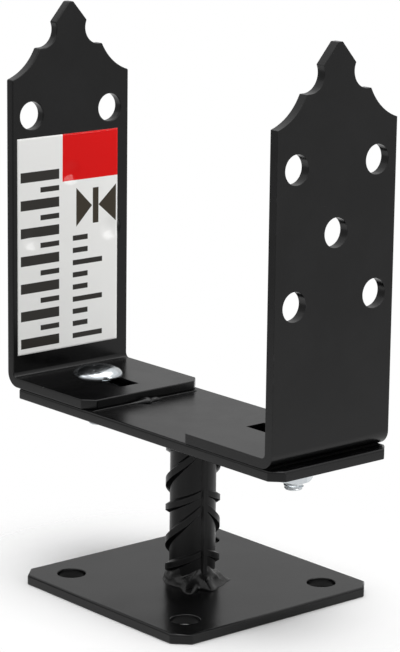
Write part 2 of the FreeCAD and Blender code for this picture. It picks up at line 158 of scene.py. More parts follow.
# %% World
def add_world(strength):
    """White: at 1 to the camera, through clear paint and in reflections, at the given strength as a light."""
    world = bpy.data.worlds.new("studio")
    world.use_nodes = True
    tree = world.node_tree
    tree.nodes.clear()
    path = tree.nodes.new("ShaderNodeLightPath")
    seen = tree.nodes.new("ShaderNodeMath")
    seen.operation = "MAXIMUM"
    tree.links.new(path.outputs["Is Camera Ray"], seen.inputs[0])
    tree.links.new(path.outputs["Is Transmission Ray"], seen.inputs[1])
    level = tree.nodes.new("ShaderNodeMapRange")
    level.inputs["To Min"].default_value = strength
    level.inputs["To Max"].default_value = 1.0
    both = tree.nodes.new("ShaderNodeMath")
    both.operation = "MAXIMUM"
    tree.links.new(seen.outputs[0], both.inputs[0])
    tree.links.new(path.outputs["Is Glossy Ray"], both.inputs[1])
    tree.links.new(both.outputs[0], level.inputs["Value"])
    shine = tree.nodes.new("ShaderNodeBackground")
    shine.inputs["Color"].default_value = (1, 1, 1, 1)
    tree.links.new(level.outputs["Result"], shine.inputs["Strength"])
    out = tree.nodes.new("ShaderNodeOutputWorld")
    tree.links.new(shine.outputs["Background"], out.inputs["Surface"])
    bpy.context.scene.world = world


add_world(strength=0.5)
bpy.context.scene.view_settings.view_transform = "Standard"
print("world ready")

# %% [markdown]
# ### Lamps
# Three square lamps stand for a studio's softboxes: a large one overhead for the even light, one at the
# right that gives the uprights their shine, and a weak one at the left front that opens the shadows. A
# picture of a real room could light the part too, but single lamps can be moved and dimmed one at a time.

# %% Lamps
def add_lamp(name, place, aim, size, power):
    """A square soft lamp at a place, in metres, that faces the aim."""
    data = bpy.data.lights.new(name, "AREA")
    data.size = size
    data.energy = power
    lamp = bpy.data.objects.new(name, data)
    lamp.location = place
    lamp.rotation_euler = (Vector(aim) - Vector(place)).to_track_quat("-Z", "Y").to_euler()
    bpy.context.scene.collection.objects.link(lamp)
    return lamp


PART_MIDDLE = (0, 0, 0.1)
add_lamp("overhead", (0.05, 0.1, 1.3), PART_MIDDLE, size=1.4, power=14.0)
add_lamp("right_side", (1.3, 0.3, 0.6), PART_MIDDLE, size=0.8, power=4.0)
add_lamp("left_front", (-0.6, -1.2, 0.8), PART_MIDDLE, size=0.7, power=1.2)
print("lamps:", len(bpy.data.lights))

# %% [markdown]
# ### Floor
# The part stands on white paper. A shadow catcher would need a second picture laid over it; here a round
# matt floor takes the shadow itself, and turns clear a hand's width out, where the white world takes its
# place.

# %% Floor
FLOOR_RADIUS = 1.6
FLOOR_RINGS, FLOOR_SIDES = 24, 96
FLOOR_DROP = 0.05 * MM
FLOOR_WHITE = (0.93, 0.93, 0.93, 1)
FADE_START, FADE_END = 0.045, 0.135


def add_floor():
    """Rings at (radius * cos, radius * sin) of the angle. The paint is matt white, and between two distances
    from the middle it turns clear, so that the white world takes its place."""
    angle = np.linspace(0, 2 * np.pi, FLOOR_SIDES + 1)[:-1]
    radius = np.linspace(0.01, FLOOR_RADIUS, FLOOR_RINGS)[:, None]
    rings = np.broadcast_arrays(radius * np.cos(angle), radius * np.sin(angle), 0.0 * radius)
    hub = [list(range(FLOOR_SIDES))]
    faces = grid_faces(FLOOR_RINGS, FLOOR_SIDES, wrap=True)[:, ::-1].tolist() + hub
    floor = make_piece("floor", np.stack(rings, axis=-1), faces)
    floor.location.z = -FLOOR_DROP
    paint = bpy.data.materials.new("floor_paint")
    paint.use_nodes = True
    tree = paint.node_tree
    shader = tree.nodes["Principled BSDF"]
    shader.inputs["Base Color"].default_value = FLOOR_WHITE
    shader.inputs["Roughness"].default_value = 0.9
    shader.inputs["Specular IOR Level"].default_value = 0.0
    clear = tree.nodes.new("ShaderNodeBsdfTransparent")
    place = tree.nodes.new("ShaderNodeTexCoord")
    length = tree.nodes.new("ShaderNodeVectorMath")
    length.operation = "LENGTH"
    tree.links.new(place.outputs["Object"], length.inputs[0])
    fade = tree.nodes.new("ShaderNodeMapRange")
    fade.interpolation_type = "SMOOTHSTEP"
    fade.inputs["From Min"].default_value = FADE_START
    fade.inputs["From Max"].default_value = FADE_END
    tree.links.new(length.outputs["Value"], fade.inputs["Value"])
    mix = tree.nodes.new("ShaderNodeMixShader")
    tree.links.new(fade.outputs["Result"], mix.inputs[0])
    tree.links.new(shader.outputs[0], mix.inputs[1])
    tree.links.new(clear.outputs[0], mix.inputs[2])
    tree.links.new(mix.outputs[0], tree.nodes["Material Output"].inputs["Surface"])
    floor.data.materials.append(paint)


add_floor()

# %% [markdown]
# ### Grey curtain
# A black face seen at a flat angle mirrors the far end of the room strongly. A studio hangs a grey curtain
# there, so that such a face stays dark. Here it stands all round, brighter towards the window side, and
# only reflections see it. A darker coating would be simpler, but the upright faces would lose their soft
# shine.

# %% Curtain that only reflections see
WINDOW_SIDE = (0.65, 0.76, 0.0)
CURTAIN_SIDES = 64
CURTAIN_FOOT = -0.3


def add_curtain(radius, top, level, swing):
    """An upright ring of the given radius, up to the height top. Its grey is the level, plus the swing times
    the cosine of the turn away from the window."""
    angle = np.linspace(0, 2 * np.pi, CURTAIN_SIDES + 1)[:-1]
    height = np.array([CURTAIN_FOOT, 0.0, top])[:, None]
    ring = np.broadcast_arrays(radius * np.cos(angle), radius * np.sin(angle), height)
    faces = grid_faces(len(height), CURTAIN_SIDES, wrap=True).tolist()
    curtain = make_piece("curtain", np.stack(ring, axis=-1), faces)
    glow = bpy.data.materials.new("curtain_grey")
    glow.use_nodes = True
    tree = glow.node_tree
    shader = tree.nodes["Principled BSDF"]
    shader.inputs["Base Color"].default_value = (0, 0, 0, 1)
    shader.inputs["Specular IOR Level"].default_value = 0.0
    shader.inputs["Emission Strength"].default_value = 1.0
    facing = tree.nodes.new("ShaderNodeVectorMath")
    facing.operation = "DOT_PRODUCT"
    facing.inputs[1].default_value = WINDOW_SIDE
    tree.links.new(tree.nodes.new("ShaderNodeTexCoord").outputs["Object"], facing.inputs[0])
    grey = tree.nodes.new("ShaderNodeMath")
    grey.operation = "MULTIPLY_ADD"
    grey.inputs[1].default_value = swing / radius
    grey.inputs[2].default_value = level
    tree.links.new(facing.outputs["Value"], grey.inputs[0])
    tree.links.new(grey.outputs[0], shader.inputs["Emission Color"])
    curtain.data.materials.append(glow)
    curtain.visible_camera = False
    curtain.visible_diffuse = False
    curtain.visible_transmission = False
    curtain.visible_shadow = False


add_curtain(radius=1.5, top=0.85, level=0.60, swing=0.14)

# %% [markdown]
# ## Shared effects
# Several finishes need the same things: fine grain that breaks up a highlight, pale rubbing on edges, and
# specks of dust. Each one is a node group, a small recipe with named inputs that any material can use with
# its own values. Painting the effects by hand would fit one view only; a recipe covers the whole part.

# %% Make an empty effect group
def new_group(name, inputs, outputs):
    """inputs are name: default for numbers; outputs are name: socket type."""
    group = bpy.data.node_groups.new(name, "ShaderNodeTree")
    group.interface.new_socket("Place", in_out="INPUT", socket_type="NodeSocketVector")
    for label, default in inputs.items():
        socket = group.interface.new_socket(label, in_out="INPUT", socket_type="NodeSocketFloat")
        socket.default_value = default
    for label, kind in outputs.items():
        group.interface.new_socket(label, in_out="OUTPUT", socket_type=kind)
    source = group.nodes.new("NodeGroupInput")
    target = group.nodes.new("NodeGroupOutput")
    return group, source, target


def add_math(tree, operation, first, second=None):
    """One math node. Each term is a socket or a plain number."""
    node = tree.nodes.new("ShaderNodeMath")
    node.operation = operation
    for slot, term in enumerate((first, second)):
        if isinstance(term, bpy.types.NodeSocket):
            tree.links.new(term, node.inputs[slot])
        elif term is not None:
            node.inputs[slot].default_value = term
    return node.outputs[0]


def add_noise(tree, place, scale, detail=3.0, roughness=0.5):
    """3D noise from 0 to 1; scale is in repeats for each metre."""
    node = tree.nodes.new("ShaderNodeTexNoise")
    tree.links.new(place, node.inputs["Vector"])
    node.inputs["Detail"].default_value = detail
    node.inputs["Roughness"].default_value = roughness
    if isinstance(scale, bpy.types.NodeSocket):
        tree.links.new(scale, node.inputs["Scale"])
    else:
        node.inputs["Scale"].default_value = scale
    return node.outputs["Fac"]


def add_range(tree, value, low, high, to_low=0.0, to_high=1.0):
    """Maps low..high onto to_low..to_high with soft ends."""
    node = tree.nodes.new("ShaderNodeMapRange")
    node.interpolation_type = "SMOOTHSTEP"
    tree.links.new(value, node.inputs["Value"])
    for label, term in (("From Min", low), ("From Max", high), ("To Min", to_low), ("To Max", to_high)):
        if isinstance(term, bpy.types.NodeSocket):
            tree.links.new(term, node.inputs[label])
        else:
            node.inputs[label].default_value = term
    return node.outputs["Result"]

# %% [markdown]
# ### Powder grain
# Powder coat melts into a skin with a very fine, soft orange peel. One noise of about a millimetre gives
# the peel, a second, ten times coarser, makes the gloss drift a little from place to place. A picture of a
# real coat could be laid on instead, but a noise has no seam and no end.

# %% Powder grain group
def build_powder_grain():
    """Height is the fine peel. Drift is the coarse noise, stretched to run from 0 to 1."""
    group, source, target = new_group(
        "powder_grain", {"Peel scale": 900.0, "Drift scale": 45.0},
        {"Height": "NodeSocketFloat", "Drift": "NodeSocketFloat"})
    place = source.outputs["Place"]
    peel = add_noise(group, place, source.outputs["Peel scale"], detail=2.0)
    drift = add_noise(group, place, source.outputs["Drift scale"], detail=4.0, roughness=0.6)
    group.links.new(peel, target.inputs["Height"])
    group.links.new(add_range(group, drift, 0.3, 0.7), target.inputs["Drift"])
    return group


powder_grain = build_powder_grain()
print("group:", powder_grain.name)

# %% [markdown]
# ### Edge rubbing
# Where two faces meet, the coating is thin and polished by handling. The Bevel node gives the normal that a
# rounded edge would have; where it leaves the true normal, there is an edge. Vertex based tricks need an
# even mesh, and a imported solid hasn't one.

# %% Edge rubbing group
def build_edge_rub():
    """The mask is the edge, where the rounded normal leaves the true one, times a coarse noise's patches."""
    group, source, target = new_group(
        "edge_rub", {"Width": 0.0007, "Patchiness": 0.5, "Patch scale": 160.0}, {"Mask": "NodeSocketFloat"})
    place = source.outputs["Place"]
    rounded = group.nodes.new("ShaderNodeBevel")
    rounded.samples = 6
    group.links.new(source.outputs["Width"], rounded.inputs["Radius"])
    true = group.nodes.new("ShaderNodeNewGeometry")
    same = group.nodes.new("ShaderNodeVectorMath")
    same.operation = "DOT_PRODUCT"
    group.links.new(rounded.outputs["Normal"], same.inputs[0])
    group.links.new(true.outputs["Normal"], same.inputs[1])
    edge = add_range(group, same.outputs["Value"], 0.997, 0.90, 0.0, 1.0)
    patches = add_noise(group, place, source.outputs["Patch scale"], detail=5.0, roughness=0.65)
    worn = add_range(group, patches, source.outputs["Patchiness"], 0.75)
    group.links.new(add_math(group, "MULTIPLY", edge, worn), target.inputs["Mask"])
    return group


edge_rub = build_edge_rub()
print("group:", edge_rub.name)

# %% [markdown]
# ### Crevices
# Where two plates meet, the powder lies loose and dull in the groove. The Ambient Occlusion node finds such
# places: it gives the share of the nearby directions that is open. Painting the grooves by hand would have
# to be done again after every change of size.

# %% Crevice group
def build_crevice():
    """The mask rises as the open share of the directions within Reach falls below Limit."""
    group, source, target = new_group("crevice", {"Reach": 0.0012, "Limit": 0.5}, {"Mask": "NodeSocketFloat"})
    near = group.nodes.new("ShaderNodeAmbientOcclusion")
    near.samples = 8
    group.links.new(source.outputs["Reach"], near.inputs["Distance"])
    mask = add_range(group, near.outputs["AO"], source.outputs["Limit"], 0.15, 0.0, 1.0)
    group.links.new(mask, target.inputs["Mask"])
    return group


crevice = build_crevice()
print("group:", crevice.name)

# %% [markdown]
# ### Dust and nicks
# A few pale specks lie on the coating, and here and there is a small nick. Both are the tops of a noise,
# cut off so high that little is left. Scattered flakes would do the same as real pieces, at a far higher
# cost.

# %% Dust group
def build_dust():
    """The mask is the tops of a fine noise, above Limit, times a coarse noise that gathers them in clumps."""
    group, source, target = new_group("dust", {"Scale": 420.0, "Limit": 0.80}, {"Mask": "NodeSocketFloat"})
    place, limit = source.outputs["Place"], source.outputs["Limit"]
    specks = add_noise(group, place, source.outputs["Scale"], detail=2.0, roughness=0.4)
    clumps = add_noise(group, place, 30.0, detail=2.0)
    fine = add_range(group, specks, limit, add_math(group, "ADD", limit, 0.03))
    gathered = add_range(group, clumps, 0.5, 0.65)
    group.links.new(add_math(group, "MULTIPLY", fine, gathered), target.inputs["Mask"])
    return group


dust = build_dust()
print("group:", dust.name)

# %% [markdown]
# ## Finishes
# Each finish is a Principled shader. The groups above feed its colour, its roughness and a Bump node;
# numbers that are the same everywhere, such as the specular level, sit on the shader itself. A painted
# picture could stand in for each, but numbers can be tuned one by one.

# %% Start a finish
def start_finish(name, specular, metallic=0.0):
    """A new material, its node tree, its Principled shader and the socket that gives each point's place."""
    material = bpy.data.materials.new(name)
    material.use_nodes = True
    tree = material.node_tree
    shader = tree.nodes["Principled BSDF"]
    shader.inputs["Specular IOR Level"].default_value = specular
    shader.inputs["Metallic"].default_value = metallic
    place = tree.nodes.new("ShaderNodeTexCoord").outputs["Object"]
    return material, tree, shader, place


def use_group(tree, group, place, **values):
    """Places a group in a material. Values name its inputs with _ for a space."""
    node = tree.nodes.new("ShaderNodeGroup")
    node.node_tree = group
    tree.links.new(place, node.inputs["Place"])
    for label, value in values.items():
        node.inputs[label.replace("_", " ")].default_value = value
    return node.outputs


def blend_colour(tree, mask, low, high):
    """Colour low where the mask is 0, high where it is 1. Each is a colour or a socket."""
    node = tree.nodes.new("ShaderNodeMix")
    node.data_type = "RGBA"
    tree.links.new(mask, node.inputs["Factor"])
    for label, term in (("A", low), ("B", high)):
        socket = [s for s in node.inputs if s.name == label and s.type == "RGBA"][0]
        if isinstance(term, bpy.types.NodeSocket):
            tree.links.new(term, socket)
        else:
            socket.default_value = (*term, 1)
    return [s for s in node.outputs if s.type == "RGBA"][0]


def add_bump(tree, shader, height, strength, distance):
    """Tilts the shader's normal as if the surface rose by height times distance, in metres."""
    node = tree.nodes.new("ShaderNodeBump")
    node.inputs["Strength"].default_value = strength
    node.inputs["Distance"].default_value = distance
    tree.links.new(height, node.inputs["Height"])
    tree.links.new(node.outputs["Normal"], shader.inputs["Normal"])

# %% [markdown]
# ### Black powder coat
# The plates and brackets have a satin black coat. It is nearly black in itself; what the eye sees is the
# soft reflection of the white room, so its roughness matters more than its colour. A clear varnish over a
# black paint would also shine, but powder coat is a single skin, so one layer is enough.

# %% Black powder coat
def build_black_coat():
    """Roughness is the drift's, plus 0.3 of the specks and 0.7 of the grooves."""
    material, tree, shader, place = start_finish("black_powder_coat", specular=0.30)
    grain = use_group(tree, powder_grain, place)
    rub = use_group(tree, edge_rub, place)["Mask"]
    specks = use_group(tree, dust, place)["Mask"]
    base = blend_colour(tree, grain["Drift"], (0.0012, 0.0012, 0.0013), (0.0022, 0.0022, 0.0024))
    rubbed = blend_colour(tree, rub, base, (0.045, 0.045, 0.046))
    colour = blend_colour(tree, specks, rubbed, (0.05, 0.05, 0.048))
    tree.links.new(colour, shader.inputs["Base Color"])
    rough = add_range(tree, grain["Drift"], 0.0, 1.0, 0.21, 0.27)
    groove = use_group(tree, crevice, place)["Mask"]
    speck_dull = add_math(tree, "MULTIPLY", specks, 0.3)
    groove_dull = add_math(tree, "MULTIPLY", groove, 0.7)
    dull = add_math(tree, "ADD", speck_dull, groove_dull)
    tree.links.new(add_math(tree, "ADD", rough, dull), shader.inputs["Roughness"])
    add_bump(tree, shader, grain["Height"], 0.25, 0.00006)
    return material


black_coat = build_black_coat()
print("finish:", black_coat.name)

# %% [markdown]
# ### Painted bar
# The bar is hot rolled, so under its coat the skin is rougher than that of the plates, with a soft scale
# pattern drawn out along it. The plates' own finish would do too, but then bar and plate would look cut
# from one piece.

# %% Painted bar
def build_bar_coat():
    """The same grain, read at places whose height is squeezed to 0.35, which draws it out along the bar."""
    material, tree, shader, place = start_finish("black_coat_on_bar", specular=0.24)
    stretch = tree.nodes.new("ShaderNodeMapping")
    stretch.inputs["Scale"].default_value = (1, 1, 0.35)
    tree.links.new(place, stretch.inputs["Vector"])
    grain = use_group(tree, powder_grain, stretch.outputs["Vector"], Peel_scale=620.0, Drift_scale=130.0)
    rub = use_group(tree, edge_rub, place, Width=0.0009, Patchiness=0.35)["Mask"]
    base = blend_colour(tree, grain["Drift"], (0.0012, 0.0012, 0.0013), (0.0028, 0.0028, 0.0030))
    tree.links.new(blend_colour(tree, rub, base, (0.03, 0.03, 0.031)), shader.inputs["Base Color"])
    tree.links.new(add_range(tree, grain["Drift"], 0.0, 1.0, 0.30, 0.42), shader.inputs["Roughness"])
    add_bump(tree, shader, grain["Height"], 0.45, 0.00012)
    return material


bar_coat = build_bar_coat()
print("finish:", bar_coat.name)

# %% [markdown]
# ### Painted weld
# A bead laid by hand freezes in lumps and ripples, and the coat pools in its hollows, where it stays
# glossier. Two separate noises could do this; here one noise sets both colour and gloss, so that they
# change together.

# %% Painted weld
def build_weld_coat():
    """One coarse noise, the pools, sets colour and roughness together; a fine one is the ripple."""
    material, tree, shader, place = start_finish("painted_weld", specular=0.32)
    ripple = add_noise(tree, place, 520.0, detail=4.0, roughness=0.6)
    pools = add_noise(tree, place, 170.0, detail=3.0)
    colour = blend_colour(tree, pools, (0.0015, 0.0015, 0.0015), (0.006, 0.0058, 0.006))
    tree.links.new(colour, shader.inputs["Base Color"])
    tree.links.new(add_range(tree, pools, 0.3, 0.7, 0.22, 0.42), shader.inputs["Roughness"])
    add_bump(tree, shader, ripple, 0.5, 0.0004)
    return material


weld_coat = build_weld_coat()
print("finish:", weld_coat.name)

# %% [markdown]
# ### Zinc plate
# The bolts, washers and nuts are bright zinc plated. Zinc is a metal, so its colour is its reflection; a
# soft cloud and a fine cell pattern in the roughness give the slightly milky look, and the edges are rubbed
# brighter. One even roughness would be simpler, but the bolt would look like chrome.

# %% Zinc plate
def build_zinc():
    """Roughness is the cloud's, plus 0.06 of the distance to the nearest cell's middle."""
    material, tree, shader, place = start_finish("zinc_plate", specular=0.5, metallic=1.0)
    cells = tree.nodes.new("ShaderNodeTexVoronoi")
    cells.inputs["Scale"].default_value = 700.0
    tree.links.new(place, cells.inputs["Vector"])
    cloud = add_noise(tree, place, 240.0, detail=4.0, roughness=0.6)
    rub = use_group(tree, edge_rub, place, Width=0.0003, Patchiness=0.3)["Mask"]
    base = blend_colour(tree, add_range(tree, cloud, 0.3, 0.7), (0.56, 0.60, 0.63), (0.70, 0.73, 0.75))
    tree.links.new(blend_colour(tree, rub, base, (0.80, 0.82, 0.83)), shader.inputs["Base Color"])
    rough = add_range(tree, cloud, 0.3, 0.7, 0.13, 0.24)
    milky = add_math(tree, "MULTIPLY", cells.outputs["Distance"], 0.06)
    tree.links.new(add_math(tree, "ADD", rough, milky), shader.inputs["Roughness"])
    add_bump(tree, shader, cloud, 0.12, 0.0001)
    return material


zinc = build_zinc()
print("finish:", zinc.name)

# %% [markdown]
# ## Dress the solids
# A solid's mesh is loose triangles. A Weld modifier joins them again, Decimate melts the flat ones
# together, and a Bevel rounds the sharp cut edges of the sheet by half a millimetre, as blanking and powder
# coat leave them. Changing the mesh itself would move the solid away from its packed size.

# %% Give a solid its finish
SHEET_ROUNDING = 0.5 * MM
FASTENER_ROUNDING = 0.2 * MM
SAME_POINT = 0.002 * MM


def dress(name, material, round_edge=None):
    """Puts the material on a solid. With round_edge, edges sharper than 40 degrees are rounded that wide."""
    solid = nodes[name]
    solid.data.materials.clear()
    solid.data.materials.append(material)
    if round_edge:
        join = solid.modifiers.new("join", "WELD")
        join.merge_threshold = SAME_POINT
        flat = solid.modifiers.new("flat", "DECIMATE")
        flat.decimate_type = "DISSOLVE"
        flat.angle_limit = math.radians(0.5)
        edge = solid.modifiers.new("edge", "BEVEL")
        edge.width = round_edge
        edge.segments = 3
        edge.limit_method = "ANGLE"
        edge.angle_limit = math.radians(40)
        even = solid.modifiers.new("even", "WEIGHTED_NORMAL")
        even.keep_sharp = False
        even.weight = 100


for name in ("base_plate", "carrier_plate", "left_bracket", "right_bracket"):
    dress(name, black_coat, round_edge=SHEET_ROUNDING)
dress("ribbed_stem", bar_coat)
dress("upper_weld", weld_coat)
for side in ("left", "right"):
    dress(side + "_washer", zinc, round_edge=FASTENER_ROUNDING)
    dress(side + "_nut", zinc, round_edge=FASTENER_ROUNDING)
print("dressed", len([o for o in nodes.values() if o.data.materials]), "solids")

# %% [markdown]
# ### A run of coating
# Along the left bracket's end the coating has run together and set as a thin bead on the carrier plate,
# with one flat drop near its middle. It is a row of half-round rings; a sculpted lump would do, but this
# one follows the flange's edge by itself.

# %% Coating run
RUN_START, RUN_LENGTH = -29.0 * MM, 55.0 * MM
RUN_GAP = 1.40 * MM
RUN_LIFT = 0.03 * MM
RUN_ROWS, RUN_SIDES = 90, 24
RUN_TAPER = 0.04
BEAD_HALF = 0.34
DROP_MIDDLE, DROP_SPREAD = 0.51, 0.10
DROP_WIDE, DROP_HIGH, DROP_LEAN = 2.00, 1.30, 0.9


def make_coating_run():
    """Half-round rings along y, on the carrier plate. At the share t of the length, the drop is a bell curve,
    exp(-((t - middle) / spread)^2), made a little wavy. It adds to the thin bead's width and height, and
    leans away from the flange."""
    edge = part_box("left_bracket")[1].x
    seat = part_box("carrier_plate")[1].z
    t = np.linspace(0.0, 1.0, RUN_ROWS)[:, None]
    angle = np.linspace(0, 2 * np.pi, RUN_SIDES + 1)[:-1][None, :]
    drop = np.exp(-(((t - DROP_MIDDLE) / DROP_SPREAD) ** 2)) * (1 + 0.25 * np.sin(55 * t))
    taper = np.minimum(1, np.minimum(t, 1 - t) / RUN_TAPER) ** 0.5 + 0.02
    half_wide = (BEAD_HALF + DROP_WIDE * drop) * MM * taper
    high = (BEAD_HALF + DROP_HIGH * drop) * MM * taper
    y = RUN_START + RUN_LENGTH * t + 0 * angle
    x = edge + RUN_GAP + half_wide * np.cos(angle) + DROP_LEAN * MM * drop
    z = seat + RUN_LIFT + high * np.maximum(np.sin(angle), 0)
    run = tube_piece("coating_run", np.stack([x, y, z], axis=-1)[:, ::-1])
    run.data.materials.append(black_coat)
    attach(run, "left_side")


make_coating_run()

# %% [markdown]
# ## Carriage bolts
# A carriage bolt has a mushroom head, a square neck that locks in the slot, and a rolled thread. The solid
# has all but the thread. Here head, neck and thread are one surface: a ring of points carried down the
# axis, whose radius is a curve of height for the head, a rounded square for the neck and a spiral for the
# thread. A spiral could be a Screw modifier, but then head and thread would be separate shells.

# %% Bolt as one surface
THREAD_PITCH = 1.25 * MM
THREAD_DEPTH = 0.62 * MM
THREAD_STEPS = 9
THREAD_START, THREAD_FADE = 0.3 * MM, 0.9 * MM
SHANK_RADIUS = 4.0 * MM
SHANK_PLAY = 0.02 * MM
NECK_HALF = 3.95 * MM
NECK_DEPTH = 3.6 * MM
HEAD_RIM = 0.7 * MM
SHEET_THICK = 4.0 * MM
BOLT_SIDES = 72


def bolt_rings(centre, top, seat, tip, head_radius):
    """Head: a quarter ellipse turned round the axis, from the rim's height to the top. Neck: a rounded
    square, its radius the half width over the eighth root of (cos^8 + sin^8). Thread: the shank's radius less
    the depth times a blunt saw of (turn - height / pitch); it fades in under the neck and ends at the tip."""
    rim, neck_end = seat + HEAD_RIM, seat - NECK_DEPTH
    angle = np.linspace(0, 2 * np.pi, BOLT_SIDES + 1)[:-1]
    sweep = np.linspace(0.02, np.pi / 2, 18)[:, None]
    head_r = head_radius * np.sin(sweep) + 0 * angle
    head_z = rim + (top - rim) * np.cos(sweep) + 0 * angle
    edge_r = np.array([1.0, 0.985, 0.955])[:, None] * head_radius + 0 * angle
    edge_z = np.array([0.6, 0.15, 0.0])[:, None] * (rim - seat) + seat + 0 * angle
    square = NECK_HALF / (np.abs(np.cos(angle)) ** 8 + np.abs(np.sin(angle)) ** 8) ** 0.125
    neck_z = np.linspace(seat, neck_end, 4)[:, None] + 0 * angle
    neck_r = np.array([1.06, 1.0, 1.0, 1.0])[:, None] * square
    thread_z = np.arange(neck_end - THREAD_START, tip, -THREAD_PITCH / THREAD_STEPS)[:, None] + 0 * angle
    phase = (angle / (2 * np.pi) - thread_z / THREAD_PITCH) % 1.0
    saw = np.clip(np.abs(phase - 0.5) * 2.6 - 0.3, 0, 1)
    ends = np.clip((thread_z - tip) / THREAD_FADE, 0, 1)
    cut = THREAD_DEPTH * (1 - saw * ends) * np.clip((neck_end - thread_z) / MM, 0, 1)
    thread_r = SHANK_RADIUS - SHANK_PLAY - cut
    last_r = thread_r[-1:] * 0.97
    last_z = np.full_like(last_r, tip)
    radius = np.concatenate([head_r, edge_r, neck_r, thread_r, last_r])
    height = np.concatenate([head_z, edge_z, neck_z, thread_z, last_z])
    across, along = radius * np.cos(-angle), radius * np.sin(-angle)
    return np.stack([centre.x + across, centre.y + along, height], axis=-1)


def make_bolt(side):
    """The head sits on the bracket's flange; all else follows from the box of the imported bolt."""
    low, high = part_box(side + "_bolt")
    centre = (low + high) / 2
    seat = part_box(side + "_bracket")[0].z + SHEET_THICK
    rings = bolt_rings(centre, high.z, seat, low.z, head_radius=(high.x - low.x) / 2)
    bolt = tube_piece(side + "_carriage_bolt", rings)
    bolt.data.materials.append(zinc)
    bolt.visible_glossy = False
    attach(bolt, side + "_fastening")
    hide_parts(side + "_bolt")


make_bolt("left")
make_bolt("right")

# %% [markdown]
# ## Lower weld
# The bead between bar and base plate is thick and lumpy, and has run out into four lobes. It is a ring of
# profiles: each profile runs from the plate up to the bar, and its reach and height change smoothly but
# unevenly with the angle. Metaballs would also give lumps, but not a clean foot on the plate.

# %% Lower weld as a ring of profiles
WELD_ROWS, WELD_COLUMNS = 26, 220
BAR_RADIUS = 9.25 * MM
WELD_OVERLAP = 0.5 * MM
WELD_INSIDE = 1.2 * MM
WELD_SINK = 0.02 * MM
BEAD_REACH, BEAD_HEIGHT = 2.5, 5.4 * MM
FRONT = math.radians(-58)
# each lobe: its middle in degrees and its spread in radians
DRIP, SHOULDER, SIDE, SPIKE = (-44, 0.21), (-12, 0.22), (18, 0.4), (52, 0.24)


def bump_at(angle, middle, spread):
    """A bell curve of height 1 at the middle, given in degrees: exp(-(turn / spread)^2), turn in radians."""
    turn = np.angle(np.exp(1j * (angle - math.radians(middle))))
    return np.exp(-((turn / spread) ** 2))


def make_lower_weld():
    """Each profile climbs from the plate, out at its reach, to the bar, up at its height. The share of the
    reach is a power of (1 - step), the share of the height a power of step. Reach and height are uneven sums
    over the angle with bell curves for the lobes; lumps and creases are added outwards and up."""
    bar_low, bar_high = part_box("ribbed_stem")
    centre = (bar_low + bar_high) / 2
    floor_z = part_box("base_plate")[1].z
    angle = np.linspace(0, 2 * np.pi, WELD_COLUMNS + 1)[:-1][None, :]
    step = np.linspace(0, 1, WELD_ROWS)[:, None]
    front = np.cos(angle - FRONT)
    drip, shoulder, side, spike = (bump_at(angle, *lobe) for lobe in (DRIP, SHOULDER, SIDE, SPIKE))
    lobes = BEAD_REACH + 8.2 * drip + 5.0 * shoulder + 2.8 * side + 3.6 * spike
    reach = (lobes + 0.45 * uneven(angle, 0.0, 11)) * MM
    height = BEAD_HEIGHT + 0.8 * MM * front + 0.9 * MM * uneven(angle, 0.0, 5)
    height = height + 3.6 * MM * bump_at(angle, -6, 0.42) + 1.7 * MM * bump_at(angle, -67, 0.33)
    bulge = 0.10 + 0.10 * uneven(angle, 0.0, 23) - 1.3 * drip - 0.6 * shoulder
    out = (1 - step) ** (1.15 - bulge) * (1 - 0.25 * np.sin(np.pi * step))
    rise = step ** (1.0 + 0.35 * np.sin(3 * angle))
    lumps = 0.50 * MM * uneven(angle, step, 31, waves=12, detail=5.0)
    creases = 0.9 * MM * (0.4 - np.abs(uneven(angle, step, 47, waves=9, detail=4.0)))
    ripple = np.sin(np.pi * step) ** 0.6 * (lumps + 1.25 * creases)
    radius = BAR_RADIUS - WELD_OVERLAP + (reach + WELD_OVERLAP) * out + ripple
    lowest = floor_z - WELD_SINK
    z = np.maximum(lowest + height * rise + 0.6 * ripple, lowest)
    turn_x, turn_y = np.cos(angle), np.sin(angle)
    outer = np.stack([centre.x + radius * turn_x, centre.y + radius * turn_y, z + 0 * angle], axis=-1)
    inside = BAR_RADIUS - WELD_INSIDE
    wall = np.broadcast_arrays(centre.x + inside * turn_x, centre.y + inside * turn_y, z[-1:])
    inner = np.stack(wall, axis=-1)
    foot = inner.copy()
    foot[..., 2] = lowest
    rings = np.concatenate([outer, inner, foot])
    rows = rings.shape[0]
    faces = grid_faces(rows, WELD_COLUMNS, wrap=True).tolist()
    column = np.arange(WELD_COLUMNS)
    after = (column + 1) % WELD_COLUMNS
    top = (rows - 1) * WELD_COLUMNS
    faces += np.stack([top + column, top + after, after, column], axis=-1).tolist()
    weld = make_piece("lower_weld_bead", rings, faces)
    weld.data.materials.append(weld_coat)
    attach(weld, "stand")
    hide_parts("lower_weld")


make_lower_weld()

# %% [markdown]
# ## Label
# The label is glossy film on the inner face of the left bracket. It bridges three of the bracket's holes,
# and sags a little into each, which shows only as a soft glint. The film is a fine grid with three shallow
# dishes, given a thickness by Solidify. A flat sheet with painted glints would be simpler, but they would
# not move with the light.

# %% Label film
FILM_ROWS, FILM_COLUMNS = 141, 81
FILM_THICK = 0.12 * MM
FILM_LOW_SHIFT, FILM_HIGH_SHIFT = Vector((0, 0.6, -0.6)) * MM, Vector((0, 1.2, -0.6)) * MM
HOLE_RADIUS = 5.75 * MM
HOLE_SIDE = 20.2 * MM
LOW_ROW, ROW_PITCH = 61.1, 25.5


